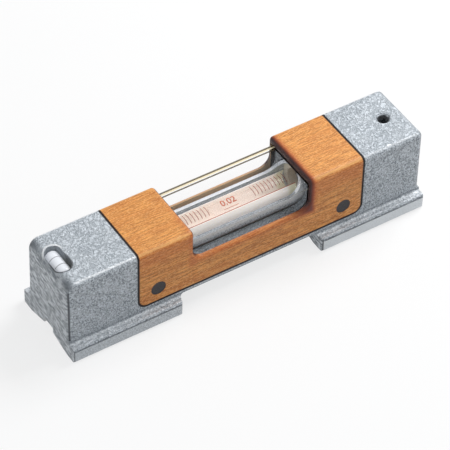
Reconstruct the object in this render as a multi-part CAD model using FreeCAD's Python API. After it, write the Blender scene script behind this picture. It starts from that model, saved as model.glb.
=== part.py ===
"""Precision machinist level, 200 mm, with a tilting main vial under a hood and a fixed cross vial.

Millimetres. The origin is at the middle of the base. +X runs along the level to the end with the
adjusting screw, +Z points up, and the front is at -Y.
"""
import FreeCAD, Part
import math
import os

from FreeCAD import Placement, Rotation, Vector

# Whole casting
LENGTH = 200.0
HEIGHT = 46.7
BODY_TOP_HALF = 18.7
BODY_ROOT_HALF = 19.15
TOP_EDGE_RADIUS = 2.6
LEFT_END_RADIUS = 5.5

# Feet and their flanges
FOOT_LENGTH = 60.2
BASE_HALF = 24.0
BASE_CHAMFER = 1.2
FLANGE_SIDE_HEIGHT = 7.2
FLANGE_STEP = 0.4
FLANGE_BEAD_HEIGHT = 8.8
FLANGE_BEAD_RADIUS = 1.5
FLANGE_ROOT_HEIGHT = 8.2
FLANGE_ROOT_RADIUS = 1.8
FOOT_OUTER_CORNER_RADIUS = 1.2
FOOT_INNER_CORNER_RADIUS = 2.0
BRIDGE_HEIGHT = 9.8
BRIDGE_FILLET = 3.0

# Prismatic base: two flats, a V between them and a relief slot along its middle
PRISM_HALF_WIDTH = 16.0
PRISM_SLOPE = 15.0
RELIEF_HALF_WIDTH = 4.0
RELIEF_HEIGHT = 6.0
RELIEF_RADIUS = 0.8

# Saddle of beech
SADDLE_CENTRE = 1.6
SADDLE_HALF_LENGTH = 63.2
SADDLE_FOOT_HEIGHT = 12.3
SADDLE_CORNER_RADIUS = 4.5
SADDLE_SIDE_WALL = 2.0
SADDLE_BLOCK_WALL = 4.8
SADDLE_TOP_WALL = 3.05
SADDLE_GAP = 0.6
SADDLE_FIT = 0.05
GASKET_RECESS = 0.35
GASKET_FIT = 0.02

# Window of the saddle
WINDOW_HALF_LENGTH = 32.8
WINDOW_DEPTH = 18.3
WINDOW_CORNER_RADIUS = 6.0
WINDOW_EDGE_ROUNDING = 1.9

# Clear hood in the window
HOOD_TOP_DROP = 3.6
HOOD_WALL = 2.0
HOOD_CORNER_RADIUS = 2.8
HOOD_SEAT_DROP = 26.7
HOOD_LAP = 1.4
HOOD_FIT = 0.05
SEAL_THICKNESS = 0.8

# Trough in the casting under the hood
TROUGH_WALL_DROP = 21.2
TROUGH_COVE_RADIUS = 9.0
END_WALL_THICKNESS = 5.2

# Carrier tube of the main vial, which tilts on a pin at its left end
VIAL_AXIS_DROP = 15.9
CARRIER_RADIUS = 11.05
CARRIER_WALL = 1.75
CARRIER_CLEARANCE = 0.65
CARRIER_LEFT = -50.0
CARRIER_RIGHT = 72.0
CARRIER_RIM_RISE = 1.55
CARRIER_CUT_RADIUS = 9.4
CARRIER_CUT_BEYOND_WINDOW = 1.9
CAP_FLANGE = 1.5
CAP_DEPTH = 6.0
CAP_GROOVE_DEPTH = 0.8

# Pivot
PIVOT_X = -57.0
PIVOT_PIN_RADIUS = 2.0
PIVOT_RUNNING_CLEARANCE = 0.03
PIVOT_PIN_SHORT = 0.2
PIVOT_LUG_RADIUS = 4.5
PIVOT_LUG_HALF_WIDTH = 4.5
PIVOT_END_ROOM = 1.0

# Main vial
VIAL_RADIUS = 6.15
VIAL_WALL = 1.5
VIAL_HALF_LENGTH = 44.5
VIAL_END_THICKNESS = 3.2
VIAL_END_RADIUS = 2.6
LIQUID_FIT = 0.02
BUBBLE_HALF_LENGTH = 13.0
BUBBLE_DEPTH = 2.1
BUBBLE_CLEARANCE = 0.06
PLASTER_LENGTH = 4.5
PLASTER_SETBACK = 1.4
SLEEVE_THICKNESS = 0.3
SLEEVE_HALF_LENGTH = 33.2
SLEEVE_EDGE_ANGLE = 35.0

# Adjusting screw, pad, tongue and spring
SCREW_X = 89.0
SCREW_RADIUS = 3.0
SCREW_RUNNING_CLEARANCE = 0.05
SCREW_LENGTH = 8.0
SCREW_TIP_CHAMFER = 0.5
SCREW_SINK_RADIUS = 3.75
HEX_ACROSS_FLATS = 3.0
HEX_DEPTH = 3.5
PAD_RADIUS = 2.3
PAD_THICKNESS = 1.7
PAD_DOME_RISE = 0.35
PAD_GAP = 0.1
TONGUE_HALF_WIDTH = 5.0
TONGUE_THICKNESS = 5.0
TONGUE_BELOW_AXIS = 0.3
TONGUE_BEYOND_SCREW = 5.5
TONGUE_TIP_RADIUS = 4.0
CHAMBER_ROOM_SIDE = 1.0
CHAMBER_ROOM_HEIGHT = 1.0
CHAMBER_ROOM_END = 1.3
SPRING_COIL_RADIUS = 3.1
SPRING_WIRE_RADIUS = 0.4
SPRING_TURNS = 3.0
SPRING_POCKET_RADIUS = 4.2
SPRING_POCKET_DEPTH = 10.0
SPRING_END_GAP = 0.1

# Screws and plugs of the saddle
COVER_SCREW_SPREAD = 52.6
COVER_SCREW_RISE = 0.4325
COVER_SCREW_RADIUS = 1.75
COVER_SCREW_HEAD_RADIUS = 3.2
COVER_SCREW_HEAD_HEIGHT = 1.45
COVER_SCREW_BITE = 4.4
COVER_SCREW_SLOT_WIDTH = 0.9
COVER_SCREW_SLOT_DEPTH = 0.6
COVER_SCREW_FIT = 0.02
PLUG_RADIUS = 4.0
PLUG_THICKNESS = 1.5
PLUG_FIT = 0.03
PLUG_SINK = 0.1

# Cross vial across the left end
CROSS_X_FROM_END = 6.0
CROSS_TOP_DROP = 1.3
CROSS_RADIUS = 3.7
CROSS_WALL = 0.9
CROSS_HALF_LENGTH = 7.9
CROSS_END_THICKNESS = 1.6
CROSS_END_RADIUS = 1.8
CROSS_POCKET_ROOM = 0.6
CROSS_POCKET_END_ROOM = 0.9
CROSS_BED_THICKNESS = 1.0
CROSS_BED_RISE = 1.4
CROSS_BUBBLE_HALF_LENGTH = 2.7
CROSS_BUBBLE_DEPTH = 1.3

# Places that follow from the sizes above
WINDOW_SILL_HEIGHT = HEIGHT - WINDOW_DEPTH
HOOD_SEAT_HEIGHT = HEIGHT - HOOD_SEAT_DROP
TROUGH_WALL_HEIGHT = HEIGHT - TROUGH_WALL_DROP
VIAL_AXIS_HEIGHT = HEIGHT - VIAL_AXIS_DROP
COVER_SCREW_HEIGHT = SADDLE_FOOT_HEIGHT + COVER_SCREW_RISE * (
    VIAL_AXIS_HEIGHT - SADDLE_FOOT_HEIGHT
)
WINDOW_LEFT = SADDLE_CENTRE - WINDOW_HALF_LENGTH
WINDOW_RIGHT = SADDLE_CENTRE + WINDOW_HALF_LENGTH
SADDLE_LEFT = SADDLE_CENTRE - SADDLE_HALF_LENGTH
SADDLE_RIGHT = SADDLE_CENTRE + SADDLE_HALF_LENGTH
POCKET_LEFT = WINDOW_LEFT - HOOD_LAP
POCKET_RIGHT = WINDOW_RIGHT + HOOD_LAP
CORE_HALF = BODY_TOP_HALF - SADDLE_SIDE_WALL
CORE_BLOCK_HALF = BODY_TOP_HALF - SADDLE_BLOCK_WALL
CORE_TOP = HEIGHT - SADDLE_TOP_WALL - SADDLE_FIT
HOOD_HALF = CORE_HALF
HOOD_TOP = HEIGHT - HOOD_TOP_DROP
CARRIER_BORE_RADIUS = CARRIER_RADIUS + CARRIER_CLEARANCE
CARRIER_INNER_RADIUS = CARRIER_RADIUS - CARRIER_WALL
CARRIER_RIM_HEIGHT = VIAL_AXIS_HEIGHT + CARRIER_RIM_RISE
CARRIER_CUT_LEFT = WINDOW_LEFT - CARRIER_CUT_BEYOND_WINDOW
CARRIER_CUT_RIGHT = WINDOW_RIGHT + CARRIER_CUT_BEYOND_WINDOW
BORE_LEFT = PIVOT_X - PIVOT_LUG_RADIUS - PIVOT_END_ROOM
BORE_RIGHT = CARRIER_RIGHT + CAP_FLANGE + PIVOT_END_ROOM
TONGUE_TOP = VIAL_AXIS_HEIGHT - TONGUE_BELOW_AXIS + TONGUE_THICKNESS / 2
TONGUE_FOOT = TONGUE_TOP - TONGUE_THICKNESS
TONGUE_RIGHT = SCREW_X + TONGUE_BEYOND_SCREW
PAD_FOOT = TONGUE_TOP + PAD_GAP
SCREW_FOOT = PAD_FOOT + PAD_THICKNESS
SPRING_POCKET_FLOOR = TONGUE_FOOT - CHAMBER_ROOM_HEIGHT - SPRING_POCKET_DEPTH
CROSS_X = CROSS_X_FROM_END - LENGTH / 2
CROSS_AXIS_HEIGHT = HEIGHT - CROSS_TOP_DROP - CROSS_RADIUS
CROSS_POCKET_HALF_WIDTH = CROSS_RADIUS + CROSS_POCKET_ROOM
CROSS_POCKET_FLOOR = CROSS_AXIS_HEIGHT - CROSS_RADIUS - CROSS_BED_THICKNESS
MARGIN = 1.0


def body_half_at(z):
    """Half width of the drafted body at a height."""
    share = (z - FLANGE_ROOT_HEIGHT) / (HEIGHT - FLANGE_ROOT_HEIGHT)
    return BODY_ROOT_HALF + share * (BODY_TOP_HALF - BODY_ROOT_HALF)


def rounded_wire(corners, place):
    """Closed wire through corners (u, v, radius), each corner rounded by an arc of its radius."""
    stops = []
    for index, (u, v, radius) in enumerate(corners):
        corner = Vector(u, v, 0)
        back = Vector(*corners[index - 1][:2], 0) - corner
        ahead = Vector(*corners[(index + 1) % len(corners)][:2], 0) - corner
        if radius == 0:
            stops.append((corner, corner, corner))
            continue
        half_angle = back.getAngle(ahead) / 2
        back.normalize()
        ahead.normalize()
        reach = radius / math.tan(half_angle)
        middle = (back + ahead).normalize() * (radius / math.sin(half_angle) - radius)
        stops.append((corner + back * reach, corner + middle, corner + ahead * reach))
    edges = []
    for index, (entry, middle, leave) in enumerate(stops):
        before = stops[index - 1][2]
        if (entry - before).Length > 1e-6:
            edges.append(Part.makeLine(place(before), place(entry)))
        if (leave - entry).Length > 1e-6:
            edges.append(Part.Arc(place(entry), place(middle), place(leave)).toShape())
    return Part.Wire(edges)


def prism_along_x(corners, x_start, x_end):
    """Solid with a section of (y, z, radius) corners between two places along X."""
    wire = rounded_wire(corners, lambda p: Vector(x_start, p.x, p.y))
    return Part.Face(wire).extrude(Vector(x_end - x_start, 0, 0))


def prism_along_y(corners, half_width):
    """Solid with an outline of (x, z, radius) corners, centred across the level."""
    wire = rounded_wire(corners, lambda p: Vector(p.x, -half_width, p.y))
    return Part.Face(wire).extrude(Vector(0, 2 * half_width, 0))


def prism_along_z(corners, z_start, z_end):
    """Solid with an outline of (x, y, radius) corners between two heights."""
    wire = rounded_wire(corners, lambda p: Vector(p.x, p.y, z_start))
    return Part.Face(wire).extrude(Vector(0, 0, z_end - z_start))


def turned(corners):
    """Solid turned about the X axis from an outline of (x, radius_from_axis, corner radius)."""
    wire = rounded_wire(corners, lambda p: Vector(p.x, 0, p.y))
    return Part.Face(wire).revolve(Vector(0, 0, 0), Vector(1, 0, 0), 360)


def block(x_range, half_width, z_range):
    """Box between two places along X and two heights, centred across the level."""
    size = Vector(x_range[1] - x_range[0], 2 * half_width, z_range[1] - z_range[0])
    return Part.makeBox(size.x, size.y, size.z, Vector(x_range[0], -half_width, z_range[0]))


def rod_along_x(radius, x_start, x_end, z):
    return Part.makeCylinder(radius, x_end - x_start, Vector(x_start, 0, z), Vector(1, 0, 0))


def rod_along_y(radius, half_length, x, z):
    return Part.makeCylinder(radius, 2 * half_length, Vector(x, -half_length, z), Vector(0, 1, 0))


def rod_up(radius, x, z_start, z_end):
    return Part.makeCylinder(radius, z_end - z_start, Vector(x, 0, z_start), Vector(0, 0, 1))


def mirrored_section(half):
    """Whole section from the corners of its +Y half, listed from the middle outwards."""
    return half + [(-y, z, radius) for y, z, radius in reversed(half)]


def edges_where(shape, test):
    """Edges of a shape whose points all pass a test."""
    found = []
    for edge in shape.Edges:
        low, high = edge.ParameterRange
        points = [edge.valueAt(low + (high - low) * share) for share in (0.05, 0.5, 0.95)]
        if all(test(point) for point in points):
            found.append(edge)
    return found


def feet_outline(left_radius):
    """Front outline of the casting, with its two feet and the bridge between them."""
    end = LENGTH / 2
    foot_end = end - FOOT_LENGTH
    return [
        (-end, 0, 0),
        (-foot_end, 0, 0),
        (-foot_end, BRIDGE_HEIGHT, BRIDGE_FILLET),
        (foot_end, BRIDGE_HEIGHT, BRIDGE_FILLET),
        (foot_end, 0, 0),
        (end, 0, 0),
        (end, HEIGHT, 0),
        (-end, HEIGHT, left_radius),
    ]


def upper_body():
    """Drafted body with its long top edges, end corners and right top edge rounded."""
    half_section = [(BODY_ROOT_HALF, FLANGE_ROOT_HEIGHT, 0), (BODY_TOP_HALF, HEIGHT, 0)]
    end = LENGTH / 2
    body = prism_along_x(mirrored_section(half_section), -end, end)
    body = body.common(prism_along_y(feet_outline(LEFT_END_RADIUS), BASE_HALF))

    def on_side(point):
        return abs(abs(point.y) - body_half_at(point.z)) < 0.001

    def on_edge_to_round(point):
        below_body = point.z < BRIDGE_HEIGHT + MARGIN and abs(point.x) < end - MARGIN
        at_right_top = abs(point.x - end) < 0.001 and abs(point.z - HEIGHT) < 0.001
        return at_right_top or (on_side(point) and not below_body)

    rounded = edges_where(body, on_edge_to_round)
    rounded = [edge for edge in rounded if edge.BoundBox.ZMax > HEIGHT / 2]
    return body.makeFillet(TOP_EDGE_RADIUS, rounded)


def root_fillet_end(root, bead, body_top):
    """Point on the body's side where the fillet on the flange ends."""
    up = (body_top - root).normalize()
    reach = FLANGE_ROOT_RADIUS / math.tan((bead - root).getAngle(up) / 2)
    return root + up * reach


def flanges():
    """Two feet with their flanges, V base and relief slot."""
    prism_rise = (PRISM_HALF_WIDTH - RELIEF_HALF_WIDTH) * math.tan(math.radians(PRISM_SLOPE))
    bead = Vector(BASE_HALF - FLANGE_STEP, FLANGE_BEAD_HEIGHT, 0)
    root = Vector(BODY_ROOT_HALF, FLANGE_ROOT_HEIGHT, 0)
    top = root_fillet_end(root, bead, Vector(BODY_TOP_HALF, HEIGHT, 0))
    half_section = [
        (RELIEF_HALF_WIDTH, RELIEF_HEIGHT, RELIEF_RADIUS),
        (RELIEF_HALF_WIDTH, prism_rise, 0),
        (PRISM_HALF_WIDTH, 0, 0),
        (BASE_HALF - BASE_CHAMFER, 0, 0),
        (BASE_HALF, BASE_CHAMFER, 0),
        (BASE_HALF, FLANGE_SIDE_HEIGHT, 0),
        (bead.x, FLANGE_SIDE_HEIGHT, 0),
        (bead.x, bead.y, FLANGE_BEAD_RADIUS),
        (root.x, root.y, FLANGE_ROOT_RADIUS),
        (top.x, top.y, 0),
    ]
    end = LENGTH / 2
    foot_end = end - FOOT_LENGTH
    neck_half = BODY_ROOT_HALF + FLANGE_ROOT_RADIUS
    quarter = [
        (foot_end, neck_half, 0),
        (foot_end, BASE_HALF, FOOT_INNER_CORNER_RADIUS),
        (end, BASE_HALF, FOOT_OUTER_CORNER_RADIUS),
    ]
    right = quarter + [(x, -y, radius) for x, y, radius in reversed(quarter)]
    plan = right + [(-x, y, radius) for x, y, radius in reversed(right)]
    flange = prism_along_x(mirrored_section(half_section), -end, end)
    flange = flange.common(prism_along_y(feet_outline(0), BASE_HALF + MARGIN))
    return flange.common(prism_along_z(plan, -MARGIN, HEIGHT))


def casting_blank():
    """Casting before any cuts."""
    return flanges().fuse(upper_body()).removeSplitter()


def saddle_outline(grow):
    """Front outline of the saddle, with its lower corners rounded."""
    radius = SADDLE_CORNER_RADIUS + grow
    return [
        (SADDLE_LEFT - grow, SADDLE_FOOT_HEIGHT - grow, radius),
        (SADDLE_RIGHT + grow, SADDLE_FOOT_HEIGHT - grow, radius),
        (SADDLE_RIGHT + grow, HEIGHT + MARGIN, 0),
        (SADDLE_LEFT - grow, HEIGHT + MARGIN, 0),
    ]


def core_block(grow):
    """Body of the casting that the saddle sits on, wider between its two end walls."""
    wide_x = (POCKET_LEFT - END_WALL_THICKNESS - grow, POCKET_RIGHT + END_WALL_THICKNESS + grow)
    long_x = (SADDLE_LEFT - SADDLE_GAP - MARGIN, SADDLE_RIGHT + SADDLE_GAP + MARGIN)
    heights = (SADDLE_FOOT_HEIGHT - SADDLE_GAP - MARGIN, CORE_TOP + grow)
    wide = block(wide_x, CORE_HALF + grow, heights)
    return wide.fuse(block(long_x, CORE_BLOCK_HALF + grow, heights))


def hood_pocket():
    """Room for the hood, its legs and the trough, cut into the core."""
    over_walls = prism_along_y(
        [
            (POCKET_LEFT, TROUGH_WALL_HEIGHT, TROUGH_COVE_RADIUS),
            (POCKET_RIGHT, TROUGH_WALL_HEIGHT, TROUGH_COVE_RADIUS),
            (POCKET_RIGHT, HEIGHT + MARGIN, 0),
            (POCKET_LEFT, HEIGHT + MARGIN, 0),
        ],
        CORE_HALF + MARGIN,
    )
    pocket_x = (POCKET_LEFT, POCKET_RIGHT)
    legs = block(pocket_x, CORE_HALF + MARGIN, (HOOD_SEAT_HEIGHT, HEIGHT + MARGIN))
    legs = legs.cut(block(pocket_x, HOOD_HALF - HOOD_WALL - HOOD_FIT, (0, HEIGHT + 2 * MARGIN)))
    trough = block(pocket_x, CARRIER_BORE_RADIUS, (VIAL_AXIS_HEIGHT, HEIGHT + MARGIN))
    return over_walls.fuse([legs, trough])


def cross_pocket(room, floor, top):
    """Round-ended pocket across the left end, with some room round the cross vial."""
    half_width = CROSS_RADIUS + room
    half_length = CROSS_HALF_LENGTH + CROSS_POCKET_END_ROOM - CROSS_POCKET_ROOM + room
    radius = half_width - 0.01
    corners = [
        (CROSS_X - half_width, -half_length, radius),
        (CROSS_X + half_width, -half_length, radius),
        (CROSS_X + half_width, half_length, radius),
        (CROSS_X - half_width, half_length, radius),
    ]
    return prism_along_z(corners, floor, top)


def adjusting_bores():
    """Threaded hole, tongue chamber and spring pocket in the right end."""
    hole_radius = SCREW_RADIUS + SCREW_RUNNING_CLEARANCE
    hole = rod_up(hole_radius, SCREW_X, TONGUE_TOP, HEIGHT + MARGIN)
    sink_depth = SCREW_SINK_RADIUS - hole_radius
    sink_at = Vector(SCREW_X, 0, HEIGHT - sink_depth)
    sink = Part.makeCone(hole_radius, SCREW_SINK_RADIUS, sink_depth, sink_at)
    chamber_half = TONGUE_HALF_WIDTH + CHAMBER_ROOM_SIDE
    chamber_right = TONGUE_RIGHT + CHAMBER_ROOM_END
    chamber_radius = TONGUE_TIP_RADIUS + CHAMBER_ROOM_SIDE
    chamber = prism_along_z(
        [
            (BORE_RIGHT - MARGIN, -chamber_half, 0),
            (chamber_right, -chamber_half, chamber_radius),
            (chamber_right, chamber_half, chamber_radius),
            (BORE_RIGHT - MARGIN, chamber_half, 0),
        ],
        TONGUE_FOOT - CHAMBER_ROOM_HEIGHT,
        TONGUE_TOP + CHAMBER_ROOM_HEIGHT,
    )
    pocket = rod_up(SPRING_POCKET_RADIUS, SCREW_X, SPRING_POCKET_FLOOR, TONGUE_FOOT)
    return hole.fuse([sink, chamber, pocket])


def cover_screw_places():
    """Place along X and side, -1 at the front and 1 at the back, of each screw of the saddle."""
    return [
        (SADDLE_CENTRE + end * COVER_SCREW_SPREAD, side)
        for side in (-1, 1)
        for end in (-1, 1)
    ]


def body_casting():
    seat = prism_along_y(saddle_outline(SADDLE_GAP), BASE_HALF).cut(core_block(0))
    casting = casting_blank().cut(seat).cut(hood_pocket())
    casting = casting.cut(rod_along_x(CARRIER_BORE_RADIUS, BORE_LEFT, BORE_RIGHT, VIAL_AXIS_HEIGHT))
    casting = casting.cut(adjusting_bores())
    casting = casting.cut(rod_along_y(PIVOT_PIN_RADIUS, BASE_HALF, PIVOT_X, VIAL_AXIS_HEIGHT))
    casting = casting.cut(cross_pocket(CROSS_POCKET_ROOM, CROSS_POCKET_FLOOR, HEIGHT + MARGIN))
    screw_tip = CORE_BLOCK_HALF - COVER_SCREW_BITE - COVER_SCREW_FIT
    for x, side in cover_screw_places():
        casting = casting.cut(
            Part.makeCylinder(
                COVER_SCREW_RADIUS + COVER_SCREW_FIT,
                CORE_BLOCK_HALF - screw_tip + MARGIN,
                Vector(x, side * screw_tip, COVER_SCREW_HEIGHT),
                Vector(0, side, 0),
            )
        )
    return casting.removeSplitter()


def cover_screw(x, side, grow):
    """Countersunk screw, with its head outwards; grow widens it for its hole in the saddle."""
    head_face = body_half_at(COVER_SCREW_HEIGHT) - PLUG_SINK - PLUG_THICKNESS - PLUG_FIT
    tip = CORE_BLOCK_HALF - COVER_SCREW_BITE
    neck = head_face - COVER_SCREW_HEAD_HEIGHT
    outline = [
        (tip, 0, 0),
        (tip, COVER_SCREW_RADIUS + grow, 0),
        (neck, COVER_SCREW_RADIUS + grow, 0),
        (head_face, COVER_SCREW_HEAD_RADIUS + grow, 0),
        (head_face, 0, 0),
    ]
    screw = turned(outline)
    turn = Rotation(Vector(0, 0, 1), 90 * side)
    screw.Placement = Placement(Vector(x, 0, COVER_SCREW_HEIGHT), turn)
    if grow == 0:
        slot_y = side * (head_face - COVER_SCREW_SLOT_DEPTH / 2)
        slot = Part.makeBox(
            2 * COVER_SCREW_HEAD_RADIUS,
            COVER_SCREW_SLOT_DEPTH,
            COVER_SCREW_SLOT_WIDTH,
            Vector(
                x - COVER_SCREW_HEAD_RADIUS,
                slot_y - COVER_SCREW_SLOT_DEPTH / 2,
                COVER_SCREW_HEIGHT - COVER_SCREW_SLOT_WIDTH / 2,
            ),
        )
        screw = screw.cut(slot)
    return screw


def cover_plug(x, side, grow):
    """Flat black plug over a screw, or its counterbore in the saddle when grow is above 0."""
    outer_face = body_half_at(COVER_SCREW_HEIGHT) - PLUG_SINK
    inner_face = outer_face - PLUG_THICKNESS
    length = PLUG_THICKNESS
    if grow > 0:
        inner_face -= PLUG_FIT
        length += PLUG_FIT + MARGIN
    start = Vector(x, side * inner_face, COVER_SCREW_HEIGHT)
    return Part.makeCylinder(PLUG_RADIUS + grow, length, start, Vector(0, side, 0))


def window_cut():
    """Cut of the saddle's window, through its top and both sides."""
    return prism_along_y(
        [
            (WINDOW_LEFT, WINDOW_SILL_HEIGHT, WINDOW_CORNER_RADIUS),
            (WINDOW_RIGHT, WINDOW_SILL_HEIGHT, WINDOW_CORNER_RADIUS),
            (WINDOW_RIGHT, HEIGHT + MARGIN, 0),
            (WINDOW_LEFT, HEIGHT + MARGIN, 0),
        ],
        BASE_HALF,
    )


def edges_on_both(shape, first, second):
    """Edges of a shape that lie on the skins of two other shapes."""
    tolerance = 1e-4
    found = []
    for edge in shape.Edges:
        low, high = edge.ParameterRange
        points = [edge.valueAt(low + (high - low) * share) for share in (0.1, 0.5, 0.9)]
        gaps = [Part.Vertex(point).distToShape(skin)[0] for point in points for skin in (first, second)]
        if max(gaps) < tolerance:
            found.append(edge)
    return found


def wood_cover():
    """Beech saddle with the window's outer edges rounded over."""
    section = [
        (body_half_at(0), 0, 0),
        (BODY_TOP_HALF, HEIGHT, TOP_EDGE_RADIUS),
    ]
    outside = prism_along_x(mirrored_section(section), SADDLE_LEFT - MARGIN, SADDLE_RIGHT + MARGIN)
    blank = outside.common(prism_along_y(saddle_outline(0), BASE_HALF)).cut(window_cut())
    rim = edges_on_both(blank, outside.Shells[0], window_cut().Shells[0])
    cover = blank.makeFillet(WINDOW_EDGE_ROUNDING, rim).cut(core_block(SADDLE_FIT))
    for x, side in cover_screw_places():
        cover = cover.cut(cover_plug(x, side, PLUG_FIT))
        cover = cover.cut(cover_screw(x, side, COVER_SCREW_FIT))
    return cover.removeSplitter()


def saddle_gasket():
    """Black gasket that fills the gap between the saddle and the casting, a little below flush."""
    half_section = [
        (body_half_at(0) - GASKET_RECESS, 0, 0),
        (BODY_TOP_HALF - GASKET_RECESS, HEIGHT - GASKET_RECESS, TOP_EDGE_RADIUS),
    ]
    past_ends = SADDLE_GAP + MARGIN
    left, right = SADDLE_LEFT - past_ends, SADDLE_RIGHT + past_ends
    inside = prism_along_x(mirrored_section(half_section), left, right)
    ring = prism_along_y(saddle_outline(SADDLE_GAP - GASKET_FIT), BASE_HALF)
    ring = ring.cut(prism_along_y(saddle_outline(GASKET_FIT), BASE_HALF + MARGIN))
    return ring.common(inside).cut(core_block(GASKET_FIT))


def hood_section():
    """Closed outline of the hood: down one leg, across the top inside and out, and down the other."""
    inner_half = HOOD_HALF - HOOD_WALL
    inner_top = HOOD_TOP - HOOD_WALL
    inner_radius = HOOD_CORNER_RADIUS - HOOD_WALL
    return [
        (-HOOD_HALF, HOOD_SEAT_HEIGHT, 0),
        (-inner_half, HOOD_SEAT_HEIGHT, 0),
        (-inner_half, inner_top, inner_radius),
        (inner_half, inner_top, inner_radius),
        (inner_half, HOOD_SEAT_HEIGHT, 0),
        (HOOD_HALF, HOOD_SEAT_HEIGHT, 0),
        (HOOD_HALF, HOOD_TOP, HOOD_CORNER_RADIUS),
        (-HOOD_HALF, HOOD_TOP, HOOD_CORNER_RADIUS),
    ]


def clear_cover():
    return prism_along_x(hood_section(), POCKET_LEFT + SEAL_THICKNESS, POCKET_RIGHT - SEAL_THICKNESS)


def hood_seal(x_start):
    return prism_along_x(hood_section(), x_start, x_start + SEAL_THICKNESS)


def vial_carrier():
    """Tube with its upper half cut away in the window, with rounded ends to the cut."""
    tube = rod_along_x(CARRIER_RADIUS, CARRIER_LEFT, CARRIER_RIGHT, VIAL_AXIS_HEIGHT)
    tube = tube.cut(rod_along_x(CARRIER_INNER_RADIUS, CARRIER_LEFT, CARRIER_RIGHT, VIAL_AXIS_HEIGHT))
    cut = prism_along_y(
        [
            (CARRIER_CUT_LEFT, CARRIER_RIM_HEIGHT, CARRIER_CUT_RADIUS),
            (CARRIER_CUT_RIGHT, CARRIER_RIM_HEIGHT, CARRIER_CUT_RADIUS),
            (CARRIER_CUT_RIGHT, HEIGHT, 0),
            (CARRIER_CUT_LEFT, HEIGHT, 0),
        ],
        CARRIER_RADIUS + MARGIN,
    )
    return tube.cut(cut)


def end_cap(face_x, outwards):
    """Plug in an end of the carrier, with a flange that closes it."""
    inner = face_x - outwards * CAP_DEPTH
    outer = face_x + outwards * CAP_FLANGE
    plug = rod_along_x(CARRIER_INNER_RADIUS, min(inner, face_x), max(inner, face_x), VIAL_AXIS_HEIGHT)
    flange = rod_along_x(CARRIER_RADIUS, min(face_x, outer), max(face_x, outer), VIAL_AXIS_HEIGHT)
    return plug.fuse(flange)


def pivot_end_cap():
    """Left plug, with the lug that tilts on the pivot pin."""
    lug = rod_along_y(PIVOT_LUG_RADIUS, PIVOT_LUG_HALF_WIDTH, PIVOT_X, VIAL_AXIS_HEIGHT)
    heights = (VIAL_AXIS_HEIGHT - PIVOT_LUG_RADIUS, VIAL_AXIS_HEIGHT + PIVOT_LUG_RADIUS)
    arm = block((PIVOT_X, CARRIER_LEFT), PIVOT_LUG_HALF_WIDTH, heights)
    cap = end_cap(CARRIER_LEFT, -1).fuse([lug, arm])
    hole_radius = PIVOT_PIN_RADIUS + PIVOT_RUNNING_CLEARANCE
    hole = rod_along_y(hole_radius, PIVOT_LUG_HALF_WIDTH + MARGIN, PIVOT_X, VIAL_AXIS_HEIGHT)
    return cap.cut(hole).removeSplitter()


def adjusting_end_cap():
    """Right plug, with the tongue that lies between the pad and the spring."""
    tongue = prism_along_z(
        [
            (CARRIER_RIGHT, -TONGUE_HALF_WIDTH, 0),
            (TONGUE_RIGHT, -TONGUE_HALF_WIDTH, TONGUE_TIP_RADIUS),
            (TONGUE_RIGHT, TONGUE_HALF_WIDTH, TONGUE_TIP_RADIUS),
            (CARRIER_RIGHT, TONGUE_HALF_WIDTH, 0),
        ],
        TONGUE_FOOT,
        TONGUE_TOP,
    )
    return end_cap(CARRIER_RIGHT, 1).fuse(tongue).removeSplitter()


def pivot_pin():
    half_length = CORE_BLOCK_HALF - PIVOT_PIN_SHORT
    return rod_along_y(PIVOT_PIN_RADIUS, half_length, PIVOT_X, VIAL_AXIS_HEIGHT)


def capsule(radius, half_length, end_radius):
    """Round bar along X about the origin, with rounded ends."""
    return turned(
        [
            (-half_length, 0, 0),
            (-half_length, radius, end_radius),
            (half_length, radius, end_radius),
            (half_length, 0, 0),
        ]
    )


def vial_cavity(radius, half_length, wall, end_thickness, shrink):
    """Inside of a vial along X about the origin, made smaller by shrink."""
    inner_half = half_length - end_thickness - shrink
    return rod_along_x(radius - wall - shrink, -inner_half, inner_half, 0)


def bubble_prism(half_length, half_width, level, top):
    """Upright prism with round ends that marks out a bubble seen from above."""
    return prism_along_z(
        [
            (-half_length, -half_width, half_width * 0.98),
            (half_length, -half_width, half_width * 0.98),
            (half_length, half_width, half_width * 0.98),
            (-half_length, half_width, half_width * 0.98),
        ],
        level,
        top,
    )


def vial_pieces(radius, half_length, wall, end_thickness, end_radius, bubble_half, bubble_depth):
    """Glass, liquid and bubble of a vial along X about the origin."""
    glass = capsule(radius, half_length, end_radius)
    glass = glass.cut(vial_cavity(radius, half_length, wall, end_thickness, 0))
    bore = radius - wall
    level = bore - bubble_depth
    half_width = math.sqrt(bore ** 2 - level ** 2)
    spirit = vial_cavity(radius, half_length, wall, end_thickness, LIQUID_FIT)
    spirit = spirit.cut(bubble_prism(bubble_half, half_width, level, radius))
    inset = BUBBLE_CLEARANCE
    air = vial_cavity(radius, half_length, wall, end_thickness, inset)
    bubble_room = bubble_prism(bubble_half - inset, half_width - inset, level + inset, radius)
    return glass, spirit, air.common(bubble_room)


def main_vial_pieces():
    pieces = vial_pieces(
        VIAL_RADIUS,
        VIAL_HALF_LENGTH,
        VIAL_WALL,
        VIAL_END_THICKNESS,
        VIAL_END_RADIUS,
        BUBBLE_HALF_LENGTH,
        BUBBLE_DEPTH,
    )
    for piece in pieces:
        piece.Placement = Placement(Vector(SADDLE_CENTRE, 0, VIAL_AXIS_HEIGHT), Rotation())
    return pieces


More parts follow.
